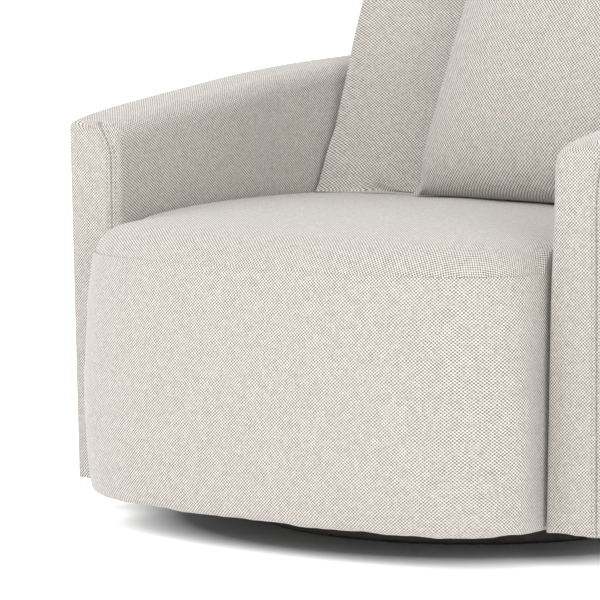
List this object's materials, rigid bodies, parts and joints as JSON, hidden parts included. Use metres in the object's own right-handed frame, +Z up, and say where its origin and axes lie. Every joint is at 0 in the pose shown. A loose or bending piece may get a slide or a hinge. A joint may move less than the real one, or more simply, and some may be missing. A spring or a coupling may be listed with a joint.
{
  "type": "glider nursery chair",
  "caption": "Barrel glider armchair on a round plinth: swivels, glides fore and aft on hanging links, tight D-front seat, loose back cushion and throw pillow.",
  "frame": {"origin": "on the floor at the swivel axis, in the middle of the plinth's underside", "axes": "+Z up, -Y towards the front of the seat, +X to the right of someone facing the chair"},
  "size_m": [0.932, 0.9358, 0.8844],
  "materials": {
    "upholstery": "matt heavy twill weave, oatmeal and ivory with taupe flecks",
    "cushion_fabric": "the same twill, softly filled",
    "pillow_fabric": "the same twill, softly filled",
    "seat_foam": "open-cell cushion foam",
    "deck_felt": "needled felt pad over the springs",
    "dust_cover_cloth": "black non-woven cambric",
    "floor_felt": "dense black felt",
    "frame_wood": "sanded birch plywood",
    "plinth_stain": "dark stained wood, satin",
    "zinc_steel": "zinc plated steel",
    "link_steel": "zinc plated flat bar",
    "pin_steel": "turned steel",
    "bolt_steel": "black oxide steel",
    "bracket_paint": "black powder coat",
    "spring_steel": "oil tempered wire",
    "bumper_rubber": "black rubber",
    "glide_plastic": "black nylon"
  },
  "bodies": {
    "base": {"floor_felt": "floor_felt", "base_plinth": "plinth_stain", "bearing_lower_plate": "zinc_steel", "pivot_bolt": "bolt_steel"},
    "ball_ring": {"ball_cage": "zinc_steel"},
    "turntable": {"bearing_upper_plate": "zinc_steel", "pivot_nut": "bolt_steel", "hanger_left": "bracket_paint", "hanger_right": "bracket_paint", "hanger_tie_front": "bracket_paint", "hanger_tie_rear": "bracket_paint", "stop_bumper_front": "bumper_rubber", "stop_bumper_rear": "bumper_rubber", "top_pin_front_left": "pin_steel", "top_pin_front_right": "pin_steel", "top_pin_rear_left": "pin_steel", "top_pin_rear_right": "pin_steel"},
    "link_front_left": {"link_front_left": "link_steel"},
    "link_front_right": {"link_front_right": "link_steel"},
    "link_rear_left": {"link_rear_left": "link_steel"},
    "link_rear_right": {"link_rear_right": "link_steel"},
    "chair_body": {"glide_rail_left": "bracket_paint", "glide_rail_right": "bracket_paint", "bottom_pin_front_left": "pin_steel", "bottom_pin_front_right": "pin_steel", "bottom_pin_rear_left": "pin_steel", "bottom_pin_rear_right": "pin_steel", "rail_bolt_front_left": "bolt_steel", "rail_bolt_front_right": "bolt_steel", "rail_bolt_rear_left": "bolt_steel", "rail_bolt_rear_right": "bolt_steel", "frame_cross_rail_front": "frame_wood", "frame_cross_rail_rear": "frame_wood", "frame_base_rail": "frame_wood", "frame_top_rail": "frame_wood", "frame_post_front_left": "frame_wood", "frame_post_front_right": "frame_wood", "frame_post_rear_left": "frame_wood", "frame_post_rear_right": "frame_wood", "seat_front_rail": "frame_wood", "seat_side_rail_left": "frame_wood", "seat_side_rail_right": "frame_wood", "seat_rear_rail": "frame_wood", "seat_spring_1": "spring_steel", "seat_spring_2": "spring_steel", "seat_spring_3": "spring_steel", "seat_spring_4": "spring_steel", "seat_deck": "deck_felt", "seat_foam": "seat_foam", "seat_top_cover": "upholstery", "seat_front_band": "upholstery", "dust_cover": "dust_cover_cloth", "shell_outer_cover": "upholstery", "shell_inner_pad": "upholstery", "arm_front_panel_left": "upholstery", "arm_front_panel_right": "upholstery", "arm_glide_left": "glide_plastic", "arm_glide_right": "glide_plastic"},
    "back_cushion": {"back_cushion": "cushion_fabric"},
    "throw_pillow": {"throw_pillow": "pillow_fabric"}
  },
  "joints": [
    {"name": "swivel", "type": "hinge", "parent": "base", "child": "turntable", "pos_m": [0, 0, 0.05], "axis": [0, 0, 1], "continuous": true},
    {"name": "ball_ring_turn", "type": "hinge", "parent": "base", "child": "ball_ring", "pos_m": [0, 0, 0.047], "axis": [0, 0, 1], "continuous": true},
    {"name": "glide", "type": "hinge", "parent": "turntable", "child": "link_front_left", "pos_m": [-0.153, -0.095, 0.175], "axis": [1, 0, 0], "range_deg": [-20, 20]},
    {"name": "link_front_right_swing", "type": "hinge", "parent": "turntable", "child": "link_front_right", "pos_m": [0.153, -0.095, 0.175], "axis": [1, 0, 0], "range_deg": [-20, 20]},
    {"name": "link_rear_left_swing", "type": "hinge", "parent": "turntable", "child": "link_rear_left", "pos_m": [-0.153, 0.095, 0.175], "axis": [1, 0, 0], "range_deg": [-20, 20]},
    {"name": "link_rear_right_swing", "type": "hinge", "parent": "turntable", "child": "link_rear_right", "pos_m": [0.153, 0.095, 0.175], "axis": [1, 0, 0], "range_deg": [-20, 20]},
    {"name": "chair_level", "type": "hinge", "parent": "link_front_left", "child": "chair_body", "pos_m": [-0.153, -0.095, 0.065], "axis": [1, 0, 0], "range_deg": [-20, 20]},
    {"name": "back_cushion_lift", "type": "slide", "parent": "chair_body", "child": "back_cushion", "axis": [0, 0.309, 0.9511], "range_m": [0, 0.5]},
    {"name": "throw_pillow_lift", "type": "slide", "parent": "chair_body", "child": "throw_pillow", "axis": [0, 0.309, 0.9511], "range_m": [0, 0.5]}
  ],
  "couplings": [
    {"joint": "ball_ring_turn", "follows": "swivel", "ratio": 0.5},
    {"joint": "link_front_right_swing", "follows": "glide", "ratio": 1},
    {"joint": "link_rear_left_swing", "follows": "glide", "ratio": 1},
    {"joint": "link_rear_right_swing", "follows": "glide", "ratio": 1},
    {"joint": "chair_level", "follows": "glide", "ratio": -1}
  ]
}
